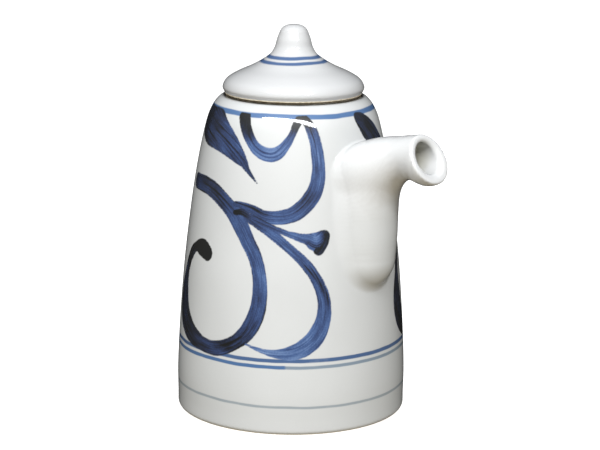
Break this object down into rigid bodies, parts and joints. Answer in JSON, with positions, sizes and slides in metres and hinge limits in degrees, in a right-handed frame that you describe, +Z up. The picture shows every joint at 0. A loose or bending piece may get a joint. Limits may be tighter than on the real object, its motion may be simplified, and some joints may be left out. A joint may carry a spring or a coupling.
{
  "type": "sake pourer",
  "caption": "Small tapered porcelain jug with a foot ring, a tube spout rising from its wall and a lift-off lid with a tapered knob.",
  "frame": {"origin": "middle of the whole pourer's bounding box on the surface that it stands on; the jug's own axis is at x = -0.010 m", "axes": "+Z up along the jug's axis, +X the way the spout points"},
  "size_m": [0.0914, 0.07, 0.1179],
  "materials": {
    "jug_porcelain": "clear glaze over white porcelain with cobalt blue brushwork and bands, bare foot ring and rim",
    "spout_porcelain": "clear glaze over white porcelain",
    "lid_porcelain": "clear glaze over white porcelain with two cobalt blue rings, bare seat and flange",
    "knob_porcelain": "clear glaze over white porcelain"
  },
  "bodies": {
    "jug": {"jug_body": "jug_porcelain", "spout": "spout_porcelain"},
    "lid": {"lid": "lid_porcelain", "lid_knob": "knob_porcelain"}
  },
  "joints": [
    {"name": "lid_lift", "type": "slide", "parent": "jug", "child": "lid", "axis": [0, 0, 1], "range_m": [0, 0.04]}
  ]
}
